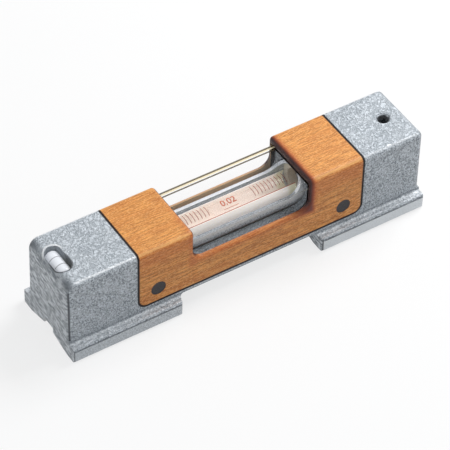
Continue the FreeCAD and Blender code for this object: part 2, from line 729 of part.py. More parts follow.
def cross_vial_pieces():
    pieces = vial_pieces(
        CROSS_RADIUS,
        CROSS_HALF_LENGTH,
        CROSS_WALL,
        CROSS_END_THICKNESS,
        CROSS_END_RADIUS,
        CROSS_BUBBLE_HALF_LENGTH,
        CROSS_BUBBLE_DEPTH,
    )
    across = Rotation(Vector(0, 0, 1), 90)
    for piece in pieces:
        piece.Placement = Placement(Vector(CROSS_X, 0, CROSS_AXIS_HEIGHT), across)
    return pieces


def plaster_ring(outwards):
    """Plaster ring between an end of the main vial and the carrier."""
    cut_end = CARRIER_CUT_RIGHT if outwards > 0 else CARRIER_CUT_LEFT
    start = cut_end + outwards * PLASTER_SETBACK
    end = start + outwards * PLASTER_LENGTH
    low, high = min(start, end), max(start, end)
    ring = rod_along_x(CARRIER_INNER_RADIUS, low, high, VIAL_AXIS_HEIGHT)
    return ring.cut(rod_along_x(VIAL_RADIUS, low, high, VIAL_AXIS_HEIGHT))


def white_sleeve():
    """White enamel sleeve round the vial, open along its top so that the scale shows."""
    left = SADDLE_CENTRE - SLEEVE_HALF_LENGTH
    right = SADDLE_CENTRE + SLEEVE_HALF_LENGTH
    outer = VIAL_RADIUS + SLEEVE_THICKNESS
    edge_height = VIAL_AXIS_HEIGHT + VIAL_RADIUS * math.sin(math.radians(SLEEVE_EDGE_ANGLE))
    sleeve = rod_along_x(outer, left, right, VIAL_AXIS_HEIGHT)
    sleeve = sleeve.cut(rod_along_x(VIAL_RADIUS, left, right, VIAL_AXIS_HEIGHT))
    return sleeve.common(block((left, right), outer, (VIAL_AXIS_HEIGHT - outer, edge_height)))


def adjusting_screw():
    """Grub screw with a hexagon socket, chamfered at both ends."""
    top = SCREW_FOOT + SCREW_LENGTH
    outline = [
        (0, 0, 0),
        (0, SCREW_RADIUS - SCREW_TIP_CHAMFER, 0),
        (SCREW_TIP_CHAMFER, SCREW_RADIUS, 0),
        (SCREW_LENGTH - SCREW_TIP_CHAMFER, SCREW_RADIUS, 0),
        (SCREW_LENGTH, SCREW_RADIUS - SCREW_TIP_CHAMFER, 0),
        (SCREW_LENGTH, 0, 0),
    ]
    screw = turned(outline)
    upright = Rotation(Vector(0, 1, 0), -90)
    screw.Placement = Placement(Vector(SCREW_X, 0, SCREW_FOOT), upright)
    across_corners = HEX_ACROSS_FLATS / math.cos(math.radians(30)) / 2
    hexagon = [
        (
            SCREW_X + across_corners * math.cos(math.radians(60 * index)),
            across_corners * math.sin(math.radians(60 * index)),
            0,
        )
        for index in range(6)
    ]
    return screw.cut(prism_along_z(hexagon, top - HEX_DEPTH, top + MARGIN))


def thrust_pad():
    """Button with a domed foot, under the screw."""
    disc = rod_up(PAD_RADIUS, SCREW_X, PAD_FOOT, SCREW_FOOT)
    dome_radius = (PAD_RADIUS ** 2 + PAD_DOME_RISE ** 2) / (2 * PAD_DOME_RISE)
    dome = Part.makeSphere(dome_radius, Vector(SCREW_X, 0, PAD_FOOT + dome_radius))
    return disc.common(dome)


def return_spring():
    """Compression spring between the pocket's floor and the tongue, wound in half turns.

    Each half turn is an arc in a plane that is tilted so that its ends meet the next ones in line.
    """
    foot = SPRING_POCKET_FLOOR + SPRING_WIRE_RADIUS + SPRING_END_GAP
    head = TONGUE_FOOT - SPRING_WIRE_RADIUS - SPRING_END_GAP
    half_turns = round(2 * SPRING_TURNS)
    rise = (head - foot) / half_turns
    coils = []
    for index in range(half_turns):
        side = 1 if index % 2 == 0 else -1
        start = Vector(SCREW_X + side * SPRING_COIL_RADIUS, 0, foot + index * rise)
        end = Vector(SCREW_X - side * SPRING_COIL_RADIUS, 0, foot + (index + 1) * rise)
        wire_end = Part.Face(Part.Wire(Part.makeCircle(SPRING_WIRE_RADIUS, start, Vector(0, 1, 0))))
        axis = (end - start).cross(Vector(0, -side, 0))
        coils.append(wire_end.revolve((start + end) / 2, axis, 180))
    return coils[0].fuse(coils[1:])


def cross_vial_bed():
    """Plaster in the foot of the cross vial's pocket, shaped to the vial."""
    top = CROSS_AXIS_HEIGHT - CROSS_RADIUS + CROSS_BED_RISE
    bed = cross_pocket(CROSS_POCKET_ROOM, CROSS_POCKET_FLOOR, top)
    vial = capsule(CROSS_RADIUS, CROSS_HALF_LENGTH, CROSS_END_RADIUS)
    across = Rotation(Vector(0, 0, 1), 90)
    vial.Placement = Placement(Vector(CROSS_X, 0, CROSS_AXIS_HEIGHT), across)
    return bed.cut(vial)


def level_parts():
    """Every sub-part of the level by its name."""
    main_vial, main_spirit, main_bubble = main_vial_pieces()
    cross_vial, cross_spirit, cross_bubble = cross_vial_pieces()
    screws = [cover_screw(x, side, 0) for x, side in cover_screw_places()]
    plug_names = ("plug_front_left", "plug_front_right", "plug_back_left", "plug_back_right")
    parts = {
        "body_casting": body_casting(),
        "wood_cover": wood_cover(),
        "saddle_gasket": saddle_gasket(),
        "clear_cover": clear_cover(),
        "hood_seal_left": hood_seal(POCKET_LEFT),
        "hood_seal_right": hood_seal(POCKET_RIGHT - SEAL_THICKNESS),
        "cover_screws": Part.makeCompound(screws),
        "vial_carrier": vial_carrier(),
        "pivot_end_cap": pivot_end_cap(),
        "pivot_pin": pivot_pin(),
        "adjusting_end_cap": adjusting_end_cap(),
        "main_vial": main_vial,
        "main_spirit": main_spirit,
        "main_bubble": main_bubble,
        "white_sleeve": white_sleeve(),
        "plaster_ring_left": plaster_ring(-1),
        "plaster_ring_right": plaster_ring(1),
        "adjusting_screw": adjusting_screw(),
        "thrust_pad": thrust_pad(),
        "return_spring": return_spring(),
        "cross_vial": cross_vial,
        "cross_spirit": cross_spirit,
        "cross_bubble": cross_bubble,
        "cross_vial_bed": cross_vial_bed(),
    }
    for name, (x, side) in zip(plug_names, cover_screw_places()):
        parts[name] = cover_plug(x, side, 0)
    return parts


os.makedirs("parts", exist_ok=True)
for name, shape in level_parts().items():
    shape.exportStep("parts/" + name + ".step")
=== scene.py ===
"""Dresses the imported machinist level: finishes, marks, number and thread, with light, floor and camera."""

import math

import bmesh
import bpy
from mathutils import Matrix, Vector


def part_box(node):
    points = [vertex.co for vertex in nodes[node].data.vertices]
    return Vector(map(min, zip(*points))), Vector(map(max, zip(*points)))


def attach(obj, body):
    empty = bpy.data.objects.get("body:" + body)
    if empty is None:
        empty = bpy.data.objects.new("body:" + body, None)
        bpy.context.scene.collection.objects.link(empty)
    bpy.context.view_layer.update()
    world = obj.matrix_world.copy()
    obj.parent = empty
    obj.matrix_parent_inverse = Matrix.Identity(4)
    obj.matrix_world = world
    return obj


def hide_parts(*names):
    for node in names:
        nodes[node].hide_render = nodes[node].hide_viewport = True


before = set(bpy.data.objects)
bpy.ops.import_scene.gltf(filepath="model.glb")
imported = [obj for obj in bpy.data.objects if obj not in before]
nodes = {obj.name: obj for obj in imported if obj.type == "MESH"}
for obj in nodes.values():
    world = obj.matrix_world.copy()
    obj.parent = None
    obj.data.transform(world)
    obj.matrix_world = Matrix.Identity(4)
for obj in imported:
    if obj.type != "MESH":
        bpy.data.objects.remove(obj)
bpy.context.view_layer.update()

MM = 0.001
scene = bpy.context.scene


def extent(node, axis):
    """Where a CAD node at rest begins and ends along an axis, in millimetres to a hundredth."""
    lowest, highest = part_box(node)
    return round(lowest[axis] / MM, 2), round(highest[axis] / MM, 2)


def middle_of(node, axis):
    """The middle of a CAD node's box along an axis."""
    low, high = extent(node, axis)
    return round((low + high) / 2, 2)


def half_of(node, axis):
    """Half of what a CAD node's box measures along an axis."""
    low, high = extent(node, axis)
    return round((high - low) / 2, 2)


X, Y, Z = range(3)
JUST_PAST = 0.05

# The casting and the saddle, with places in millimetres here and below
LEVEL_TOP_Z = extent("body_casting", Z)[1]
SADDLE_MIDDLE_X = middle_of("wood_cover", X)
SADDLE_HALF = half_of("wood_cover", X)
SADDLE_SIDE_Y = half_of("wood_cover", Y)
SADDLE_FOOT_Z = extent("wood_cover", Z)[0]
SADDLE_CORNER = 4.5
SADDLE_ROLL_Z = 40.0
SEAM_WIDTH = 0.6
OUTBOARD_Y = SADDLE_SIDE_Y - 0.2
ROLLED_EDGE_Z = 38.0
FLANGE_SIDE_TOP_Z = 7.3
BEAD_Z = 8.7
FLANGE_ROOT_Z = 9.7
GROUND_BASE_Z = 6.5
RELIEF_HALF_WIDTH = 4.02
RELIEF_Z = 6.05

# The hood, and the window and trough round it
WINDOW_MIDDLE_X = middle_of("clear_cover", X)
HOOD_HALF = half_of("clear_cover", X)
HOOD_SIDE_Y = half_of("clear_cover", Y)
HOOD_TOP_Z = extent("clear_cover", Z)[1]
HOOD_WALL = 2.0
HOOD_CORNER = 2.8
HOOD_CORNER_Z = HOOD_TOP_Z - HOOD_CORNER - JUST_PAST
HOOD_OUTER_LINE_Y = HOOD_SIDE_Y - 3.6
HOOD_INNER_LINE_Y = HOOD_SIDE_Y - 3.35
HOOD_INSIDE_Y = HOOD_SIDE_Y - HOOD_WALL + JUST_PAST
HOOD_INSIDE_TOP_Z = HOOD_TOP_Z - HOOD_WALL + JUST_PAST
WINDOW_HALF = HOOD_HALF - 0.6
WINDOW_SILL_Z = LEVEL_TOP_Z - 18.3
WINDOW_BACK_Y = 12.0
WINDOW_WALL_Z = 24.0
SILL_PAINT_RISE = 1.1
TROUGH_HALF = HOOD_HALF + 1.0
TROUGH_SIDE_Y = HOOD_SIDE_Y + 0.5
TROUGH_FLOOR_Z = 14.0
TROUGH_TOP_Z = HOOD_TOP_Z - 0.1
MIRROR_BACK_Y = 11.2
MIRROR_FOOT_Z = 22.0
MIRROR_END_X = 28.0

# The main vial and its tube
VIAL_AXIS_Z = middle_of("main_vial", Z)
VIAL_RADIUS = half_of("main_vial", Z)
TUBE_FRONT_Y = -8.0

# The cross vial in its slot, and the adjusting screw
CROSS_VIAL_X = middle_of("cross_vial", X)
CROSS_VIAL_Z = middle_of("cross_vial", Z)
CROSS_VIAL_RADIUS = half_of("cross_vial", X)
SLOT_HALF_WIDTH = CROSS_VIAL_RADIUS + 0.7
SLOT_HALF_LENGTH = half_of("cross_vial", Y) + 1.0
SLOT_BOTTOM_Z = extent("cross_vial_bed", Z)[0] - 0.5
SLOT_TOP_Z = LEVEL_TOP_Z - 0.5
SCREW_X = middle_of("adjusting_screw", X)
SCREW_RADIUS = half_of("adjusting_screw", X)
SCREW_TOP_Z = extent("adjusting_screw", Z)[1]

# Where a colour begins to come in, and where it is full
CORNER_PATCH_Y = (10, 15)
LIT_RIM_Y, DARK_RIM_Y = (3, 8), (3, -1)
UNDER_EDGE_Z = (32, 41)
RIGHT_STAIN_AND_SHADE, LEFT_STAIN_AND_SHADE = (18, 33), (28, 33)
STAIN_AND_SHADE_ENDS_Z = (24, 33)
TUBE_CREST_Z = (28.5, 31)
TUBE_SHADE_Z = (24.5, 28)
SLEEVE_ENDS = (27.5, 30.5)

# Directions that the rolled edges and the upright corners face, as their parts sideways and up
CASTING_ROLL_SIDEWAYS, CASTING_ROLL_UP = 0.5, 0.866
SADDLE_ROLL_SIDEWAYS, SADDLE_ROLL_UP = 0.6, 0.8
DIAGONAL = 0.7071

# How deep the ink of a mark is sunk in the glass, and how high it stands on it
MARK_SUNK = 0.01
MARK_RAISED = 0.02


def srgb(red, green, blue):
    """A colour written as the eye sees it, 0 to 255, in the linear form that a socket takes."""
    def linear(value):
        value /= 255
        return value / 12.92 if value <= 0.04045 else ((value + 0.055) / 1.055) ** 2.4
    return linear(red), linear(green), linear(blue), 1.0


def grey(value):
    """A plain grey in the linear form."""
    return value, value, value, 1.0


WHITE = grey(1.0)


class Wire:
    """A shader socket on which Python's operators add the Math nodes that they stand for."""

    def __init__(self, shading, socket):
        self.shading = shading
        self.socket = socket

    def math(self, operation, *values):
        return self.shading.node("ShaderNodeMath", {"operation": operation}, dict(enumerate(values)))

    def __add__(self, other):
        return self.math("ADD", self, other)

    __radd__ = __add__

    def __sub__(self, other):
        return self.math("SUBTRACT", self, other)

    def __rsub__(self, other):
        return self.math("SUBTRACT", other, self)

    def __mul__(self, other):
        return self.math("MULTIPLY", self, other)

    __rmul__ = __mul__

    def __pow__(self, other):
        return self.math("POWER", self, other)

    def __abs__(self):
        return self.math("ABSOLUTE", self)

    def __lt__(self, other):
        return self.math("LESS_THAN", self, other)

    def __gt__(self, other):
        return self.math("GREATER_THAN", self, other)

    def most(self, other):
        return self.math("MAXIMUM", self, other)

    def least(self, other):
        return self.math("MINIMUM", self, other)


class Shading:
    """A node tree, and the one method that adds nodes to it."""

    def __init__(self, tree):
        self.tree = tree
        self.tree.nodes.clear()

    def node(self, kind, settings=None, sockets=None, out=0):
        """Adds any node: its settings first, then the values or links of its sockets."""
        node = self.tree.nodes.new(kind)
        for key, value in (settings or {}).items():
            setattr(node, key, value)
        for key, value in (sockets or {}).items():
            if isinstance(value, Wire):
                self.tree.links.new(value.socket, node.inputs[key])
            else:
                node.inputs[key].default_value = value
        return Wire(self, node.outputs[out]) if node.outputs else None

    def seen_plainly(self):
        """1 for what the camera, gloss and glass see, and 0 for the light that falls on the level."""
        camera = self.node("ShaderNodeLightPath", out="Is Camera Ray")
        rays = camera.socket.node.outputs
        return camera.most(Wire(self, rays["Is Glossy Ray"])).most(Wire(self, rays["Is Transmission Ray"]))

    def either(self, factor, first, second):
        """Mixes two shaders."""
        return self.node("ShaderNodeMixShader", None, {0: factor, 1: first, 2: second})


class Finish(Shading):
    """One procedural material. Its patterns are laid out in millimetres of the level itself."""

    def __init__(self, name):
        self.material = bpy.data.materials.new(name)
        self.material.use_nodes = True
        super().__init__(self.material.node_tree)
        metres = self.node("ShaderNodeTexCoord", out="Object")
        self.place = self.node("ShaderNodeVectorMath", {"operation": "SCALE"}, {0: metres, "Scale": 1 / MM})

    def spot(self):
        """The place as three numbers."""
        return self.parts(self.place)

    def facing(self):
        """The surface's own direction, as three numbers."""
        return self.parts(self.node("ShaderNodeTexCoord", out="Normal"))

    def graze(self):
        """0 where a surface is seen head on, 1 where it is seen along itself."""
        return self.node("ShaderNodeLayerWeight", None, {"Blend": 0.5}, out="Facing")

    def parts(self, vector):
        """The three numbers of a vector."""
        first = self.node("ShaderNodeSeparateXYZ", None, {0: vector})
        outputs = first.socket.node.outputs
        return first, Wire(self, outputs[1]), Wire(self, outputs[2])

    def laid(self, grain, turn):
        """The place turned by degrees and then stretched, for a pattern that runs one way."""
        angles = tuple(math.radians(angle) for angle in turn)
        turned = self.node("ShaderNodeMapping", {"vector_type": "TEXTURE"},
                           {"Vector": self.place, "Rotation": angles})
        return self.node("ShaderNodeVectorMath", {"operation": "MULTIPLY"}, {0: turned, 1: grain})

    def noise(self, per_mm, detail=2.0, roughness=0.5, grain=(1, 1, 1), turn=(0, 0, 0), distortion=0.0):
        """Cloudy pattern from 0 to 1, with so many lumps to the millimetre."""
        sockets = {"Vector": self.laid(grain, turn), "Scale": per_mm, "Detail": detail,
                   "Roughness": roughness, "Distortion": distortion}
        return self.node("ShaderNodeTexNoise", None, sockets)

    def fade(self, value, low, high):
        """0 below low, 1 above high, and a soft step between."""
        return self.node("ShaderNodeMapRange", {"interpolation_type": "SMOOTHSTEP"},
                         {"Value": value, "From Min": low, "From Max": high})

    def line_at(self, value, middle, core, reach):
        """1 within core of the middle, fading to 0 at reach from it."""
        return 1 - self.fade(abs(value - middle), core, reach)

    def blend(self, factor, first, second):
        """Mixes two colours."""
        return self.node("ShaderNodeMix", {"data_type": "RGBA", "clamp_result": True},
                         {0: factor, 6: first, 7: second}, out=2)

    def bump(self, height, depth):
        """Turns a height of 0 to 1 into relief of so many millimetres."""
        return self.node("ShaderNodeBump", None, {"Height": height, "Distance": depth * MM, "Strength": 1.0})

    def seam(self):
        """1 in the narrow gap round the saddle, and 0 a little way off it on either side: the band painted
        dark as shade in the gap.
        """
        x, _, z = self.spot()
        beside = (abs(x - SADDLE_MIDDLE_X) - (SADDLE_HALF - SADDLE_CORNER)).most(0)
        below = (SADDLE_FOOT_Z + SADDLE_CORNER - z).most(0)
        outside = (beside * beside + below * below) ** 0.5 - SADDLE_CORNER
        return self.line_at(outside, SEAM_WIDTH / 2, 0.42, 0.9)

    def principled(self, sockets):
        return self.node("ShaderNodeBsdfPrincipled", None, sockets)

    def see_through(self, factor, solid, tint=WHITE):
        """Shows the solid shader by the factor, and what is behind it otherwise."""
        return self.either(factor, self.node("ShaderNodeBsdfTransparent", None, {"Color": tint}), solid)

    def done(self, shader):
        self.node("ShaderNodeOutputMaterial", None, {"Surface": shader})
        return self.material


# Finishes of the casting


def hammered_shade(f, grain):
    """Colour and relief of the enamel: fine grain, pebbles on top, and scales on the ends."""
    nx, _, nz = f.facing()
    upward = f.fade(nz, 0.5, 0.9)
    endward = f.fade(abs(nx), 0.6, 0.9)
    pebbles = f.fade(f.noise(0.78, detail=2.0, roughness=0.5, distortion=0.9), 0.36, 0.62)
    clouds = f.noise(0.16, detail=2.0)
    scaly = f.noise(0.8, detail=1.0, grain=(1, 0.34, 1), turn=(10, 0, 0), distortion=0.5)
    scales = f.fade(scaly, 0.38, 0.62)
    relief = (grain * (0.4 - upward * 0.2 - endward * 0.25) + pebbles * (0.2 + upward * 0.95)
              + endward * scales * 2.0)
    pebbled = f.blend(pebbles, srgb(152, 160, 167), srgb(206, 213, 220))
    scaled = f.blend(scales, srgb(102, 110, 117), srgb(214, 219, 224))
    shade = f.blend(grain, srgb(94, 102, 110), srgb(214, 221, 228))
    shade = f.blend(upward * 0.75, shade, pebbled)
    shade = f.blend(endward * 0.75, shade, scaled)
    shade = f.blend(f.fade(clouds, 0.4, 0.7) * 0.18, shade, srgb(222, 227, 232))
    return shade, relief


def edge_light_and_shade(f, shade):
    """Painted highlight on the rolled edges on top, painted shade on the rolls at the ends and at their left
    corners, and dark painted shade down the upright corners.
    """
    x, y, z = f.spot()
    nx, ny, nz = f.facing()
    lean = abs(ny) * CASTING_ROLL_SIDEWAYS + nz * CASTING_ROLL_UP
    # Painted highlight along the rolled edges on top, weaker on the right.
    rolled = f.fade(lean, 0.97, 0.996) * (z > ROLLED_EDGE_Z) * (abs(nx) < 0.3)
    shade = f.blend(rolled * (0.7 - 0.3 * (x > 0)), shade, srgb(246, 249, 252))
    # Painted shade on the rolls at the ends, deeper near the left corners.
    end_roll = f.fade(abs(nx), 0.25, 0.6) * f.fade(nz, 0.15, 0.5)
    corner_patch = end_roll * f.fade(abs(y), *CORNER_PATCH_Y) * (x < 0)
    shade = f.blend(end_roll * 0.3 + corner_patch * 0.45, shade, srgb(84, 91, 98))
    # Dark painted shade down the upright corners.
    upright = f.fade((abs(nx) + abs(ny)) * DIAGONAL, 0.965, 0.995) * (abs(nz) < 0.3)
    return f.blend(upright * 0.85, shade, srgb(50, 54, 60))


def flange_shade(f, shade, grain):
    """Pale flange sides, partly their own paler finish and partly painted light, stronger on the right;
    painted shade in the grooves over and under the bead; and a painted highlight on the bead's crown.
    """
    x, y, z = f.spot()
    _, ny, nz = f.facing()
    outboard = abs(y) > OUTBOARD_Y
    # Paler flange sides: partly their own paler finish, partly painted light, stronger on the right.
    foot_side = f.fade(abs(ny), 0.7, 0.9) * outboard * (z < FLANGE_SIDE_TOP_Z)
    shade = f.blend(foot_side * (0.3 + 0.5 * (x > 0)), shade, srgb(232, 237, 241))
    # Painted shade in the grooves over and under the bead.
    grooves = f.line_at(z, FLANGE_SIDE_TOP_Z, 0.1, 0.45).most(f.line_at(z, FLANGE_ROOT_Z, 0.2, 0.9) * 0.7)
    shade = f.blend(grooves * outboard * 0.6, shade, srgb(84, 90, 96))
    # Painted highlight on the bead's crown.
    crown = f.line_at(z, BEAD_Z, 0.15, 0.4) * f.fade(nz, 0.3, 0.7) * outboard
    return f.blend(crown * grain * 0.8, shade, srgb(240, 243, 246))


def trough_shade(f, shade, grain):
    """Speckled grey in the trough under the hood, darkened as painted shade, with a painted reflection of
    the beech on its back wall.
    """
    x, y, z = f.spot()
    trough = ((abs(y) < TROUGH_SIDE_Y) * (z > TROUGH_FLOOR_Z)
              * (abs(x - WINDOW_MIDDLE_X) < TROUGH_HALF) * (z < TROUGH_TOP_Z))
    # Darker speckled grey in the trough: painted shade for the low light under the hood.
    speckled = f.blend(grain, srgb(92, 100, 108), srgb(160, 168, 175))
    shade = f.blend(trough * 0.85, shade, speckled)
    # Pale tan on the trough's back wall: a painted reflection of the beech.
    back_wall = trough * (y > MIRROR_BACK_Y) * (z > MIRROR_FOOT_Z) * (x < MIRROR_END_X)
    return f.blend(back_wall * 0.85, shade, srgb(240, 208, 172))


def cross_slot_shade(f, shade):
    """Plain grey painted light inside the cross vial's slot, lifting its shade, with a painted highlight on
    the rim at the back and painted shade on the rim in front.
    """
    x, y, z = f.spot()
    _, _, nz = f.facing()
    across = x - CROSS_VIAL_X
    slot = ((abs(across) < SLOT_HALF_WIDTH + JUST_PAST) * (abs(y) < SLOT_HALF_LENGTH + JUST_PAST)
            * (nz < 0.6) * (z > SLOT_BOTTOM_Z) * (z < SLOT_TOP_Z))
    # Plain grey inside the slot: painted light that lifts its shade.
    shade = f.blend(slot * 0.85, shade, srgb(150, 157, 164))
    past_flat = (abs(y) - (SLOT_HALF_LENGTH - SLOT_HALF_WIDTH)).most(0)
    off_rim = (across * across + past_flat * past_flat) ** 0.5 - SLOT_HALF_WIDTH
    above = z > ROLLED_EDGE_Z
    # Painted highlight on the slot's rim at the back.
    lit_rim = f.line_at(off_rim, 0.5, 0.2, 0.7) * f.fade(y, *LIT_RIM_Y) * above
    shade = f.blend(lit_rim * 0.8, shade, srgb(248, 250, 252))
    # Painted shade on the slot's rim in front.
    dark_rim = f.line_at(off_rim, 0.1, 0.15, 0.4) * f.fade(y, *DARK_RIM_Y) * above
    return f.blend(dark_rim * 0.8, shade, srgb(44, 47, 52))


def hammertone_enamel():
    """Blue-grey hammered enamel on the casting, with its ground base left bare, and painted light and shade
    on its edges, flange, trough, gap and cross vial's slot.
    """
    f = Finish("hammertone_enamel")
    _, y, z = f.spot()
    _, _, nz = f.facing()
    grain = f.fade(f.noise(1.25, detail=3.0, roughness=0.8), 0.34, 0.66)
    shade, relief = hammered_shade(f, grain)
    # Painted highlights and painted shade on the edges.
    shade = edge_light_and_shade(f, shade)
    # Painted light and painted shade on the flange.
    shade = flange_shade(f, shade, grain)
    # Painted shade in the trough, and a painted reflection on its back wall.
    shade = trough_shade(f, shade, grain)
    # Painted shade in the gap round the saddle.
    shade = f.blend(f.seam() * 0.95, shade, srgb(34, 34, 38))
    # Painted light and painted shade in and round the cross vial's slot.
    shade = cross_slot_shade(f, shade)
    ground = (nz < -0.85) * (z < GROUND_BASE_Z)
    bare = ground.most((abs(y) < RELIEF_HALF_WIDTH) * (z < RELIEF_Z))
    scraped = f.noise(0.25, detail=2.0, grain=(1, 1, 0.01), distortion=1.5)
    scratch = f.noise(1.2, detail=2.0, grain=(0.06, 1, 1))
    steel = f.blend(f.fade(scraped, 0.42, 0.58), srgb(168, 170, 171), srgb(196, 198, 199))
    steel = f.blend(f.fade(scratch, 0.5, 0.7) * 0.35, steel, srgb(132, 134, 136))
    return f.done(f.principled({
        "Base Color": f.blend(bare, shade, steel),
        "Metallic": 0.3 + bare * 0.6,
        "Roughness": (0.36 + grain * 0.14) * (1 - bare) + bare * 0.3,
        "Normal": f.bump(relief * (1 - bare) + bare * scratch * 0.12, 0.3),
    }))


# Finish of the saddle


def beech_grain(f, fibre, speckle):
    """Plain beech: fibre, broad bands, short flecks and speckle, a little lighter on top as painted light, a
    deeper orange on the sides under the top edge, and painted highlights on the rolled edges.
    """
    _, _, z = f.spot()
    _, ny, nz = f.facing()
    bands = f.noise(0.22, detail=2.0, roughness=0.5, grain=(0.12, 1, 1), distortion=0.4)
    flecks = f.noise(1.6, detail=1.0, roughness=0.4, grain=(0.16, 1, 1))
    colour = f.blend(f.fade(fibre, 0.37, 0.63), srgb(174, 98, 38), srgb(244, 168, 88))
    colour = f.blend(f.fade(bands, 0.42, 0.66) * 0.4, colour, srgb(204, 118, 52))
    colour = f.blend(f.fade(flecks, 0.55, 0.7) * 0.42, colour, srgb(156, 88, 44))
    colour = f.blend(f.fade(speckle, 0.5, 0.64) * 0.6, colour, srgb(252, 196, 128))
    colour = f.blend((1 - f.fade(speckle, 0.32, 0.46)) * 0.45, colour, srgb(150, 84, 42))
    # Painted light: a little lighter on top.
    colour = f.blend(f.fade(nz, 0.5, 0.9) * 0.12, colour, srgb(255, 190, 108))
    under_edge = f.fade(abs(ny), 0.75, 0.97) * f.fade(z, *UNDER_EDGE_Z)
    colour = f.blend(under_edge * 0.25, colour, srgb(206, 92, 36))
    # Painted highlight on the rolled edges on top.
    lean = abs(ny) * SADDLE_ROLL_SIDEWAYS + nz * SADDLE_ROLL_UP
    rolled = f.fade(lean, 0.95, 0.995) * (z > SADDLE_ROLL_Z)
    return f.blend(rolled * 0.45, colour, srgb(250, 194, 126))


def window_stain_and_shade(f, colour):
    """Deep red round the window, partly the lacquer's tone and partly painted shade; dark brown painted
    shade at its right; and pale tan painted light on its back sill and inner walls.
    """
    x, y, z = f.spot()
    _, ny, _ = f.facing()
    from_window = (abs(x - WINDOW_MIDDLE_X) - WINDOW_HALF).most(WINDOW_SILL_Z - z)
    right = f.fade(x - WINDOW_MIDDLE_X, *RIGHT_STAIN_AND_SHADE)
    left = f.fade(WINDOW_MIDDLE_X - x, *LEFT_STAIN_AND_SHADE)
    low = 1 - f.fade(z, *STAIN_AND_SHADE_ENDS_Z)
    front = f.fade(y, WINDOW_BACK_Y, -WINDOW_BACK_Y)
    # Deeper red round the window: partly the lacquer's tone where the window is cut, partly painted shade on
    # its rounded rims.
    glow = (1 - f.fade(from_window, 0.8, 4.6)) * (right * 0.9).most(left * low * 0.9).most(0.42 * front)
    colour = f.blend(glow * 0.85, colour, srgb(180, 66, 26))
    # Dark brown painted shade at the window's right.
    right_rim_shade = (1 - f.fade(from_window, 0.4, 3.0)) * right
    colour = f.blend(right_rim_shade * 0.85, colour, srgb(74, 30, 26))
    # Pale tan painted light on the back sill and on the inner walls, lifting their shade.
    beside_window = 1 - f.fade(from_window, 1.6, 3.0)
    on_sill = (y > WINDOW_BACK_Y) * (z < WINDOW_SILL_Z + SILL_PAINT_RISE)
    back_sill = on_sill * beside_window * (1 - f.fade(ny, 0.2, 0.7))
    colour = f.blend(back_sill * 0.8, colour, srgb(206, 172, 134))
    inward = (ny * y < -0.3) * (z > WINDOW_WALL_Z)
    return f.blend(inward * 0.85, colour, srgb(240, 214, 182))


def lacquered_beech():
    """Orange beech under lacquer, redder and with painted shade where the window is cut, painted light on
    the window's inner walls, with dark end grain.
    """
    f = Finish("lacquered_beech")
    nx, _, _ = f.facing()
    fibre = f.noise(1.5, detail=4.0, roughness=0.7, grain=(0.07, 1, 1))
    speckle = f.noise(1.8, detail=2.0, roughness=0.8, grain=(0.4, 1, 1))
    # The beech's colour, with painted light and painted shade round the window.
    colour = window_stain_and_shade(f, beech_grain(f, fibre, speckle))
    pores = f.noise(2.0, detail=2.0, roughness=0.6, grain=(0.3, 1, 1))
    end_colour = f.blend(f.fade(pores, 0.4, 0.65), srgb(44, 24, 26), srgb(76, 42, 36))
    colour = f.blend(f.fade(abs(nx), 0.35, 0.85), colour, end_colour)
    # Painted shade in the gap round the saddle.
    colour = f.blend(f.seam() * 0.9, colour, srgb(44, 28, 24))
    return f.done(f.principled({
        "Base Color": colour,
        "Roughness": 0.36 + fibre * 0.14,
        "Specular IOR Level": 0.3,
        "Coat Roughness": 0.25,
        "Coat Weight": 0.1,
        "Normal": f.bump(fibre * 0.5 + speckle * 0.5, 0.06),
    }))


# Clear finishes


def clear_acrylic():
    """Clear acrylic, with cream and olive lines painted at its rounded corners: painted reflections of the
    light those corners bend.
    """
    f = Finish("clear_acrylic")
    _, y, z = f.spot()
    edge = f.graze()
    haze = f.noise(0.5, detail=2.0)
    corner = z > HOOD_CORNER_Z
    inside = (abs(y) < HOOD_INSIDE_Y) * (z < HOOD_INSIDE_TOP_Z)
    outside = (abs(y) > HOOD_OUTER_LINE_Y) * (1 - inside)
    # Cream and olive lines at the rounded corners: painted reflections of the light the corners bend.
    outer_line = f.fade(edge + (y > 0) * 0.1, 0.34, 0.38) * outside * corner
    inner_line = (y > HOOD_INNER_LINE_Y) * corner * inside * f.fade(edge, 0.2, 0.27)
    line = outer_line.most(inner_line)
    tint = f.blend(f.fade(edge, 0.34, 0.39).most(inner_line), srgb(252, 238, 200), srgb(98, 82, 48))
    solid = f.principled({
        "Base Color": f.blend(line, WHITE, tint), "Metallic": 1 - line, "Roughness": 0.04 + haze * 0.04})
    mirrored = 0.012 + edge ** 5 * 0.5
    return f.done(f.see_through((mirrored + line * 0.92).least(0.95), solid))


def vial_glass(name, cloud):
    """Glass with a faint green at its rims, and so much cloud in it, which glows a little: the glow is
    painted light.
    """
    f = Finish(name)
    edge = f.graze()
    streaks = f.noise(0.8, detail=2.0, grain=(0.05, 1, 1))
    rim = f.fade(edge, 0.8, 0.98)
    tint = f.blend(rim, srgb(246, 249, 254), srgb(132, 134, 122))
    # The emission is painted light.
    solid = f.principled({
        "Base Color": tint, "Metallic": 0.0 if cloud else 1 - rim, "Roughness": 0.14 + streaks * 0.08,
        "Emission Color": tint, "Emission Strength": cloud * 0.2})
    return f.done(f.see_through((0.02 + cloud * 0.85 + edge ** 5 * 0.4 + rim * 0.3).least(0.9), solid))


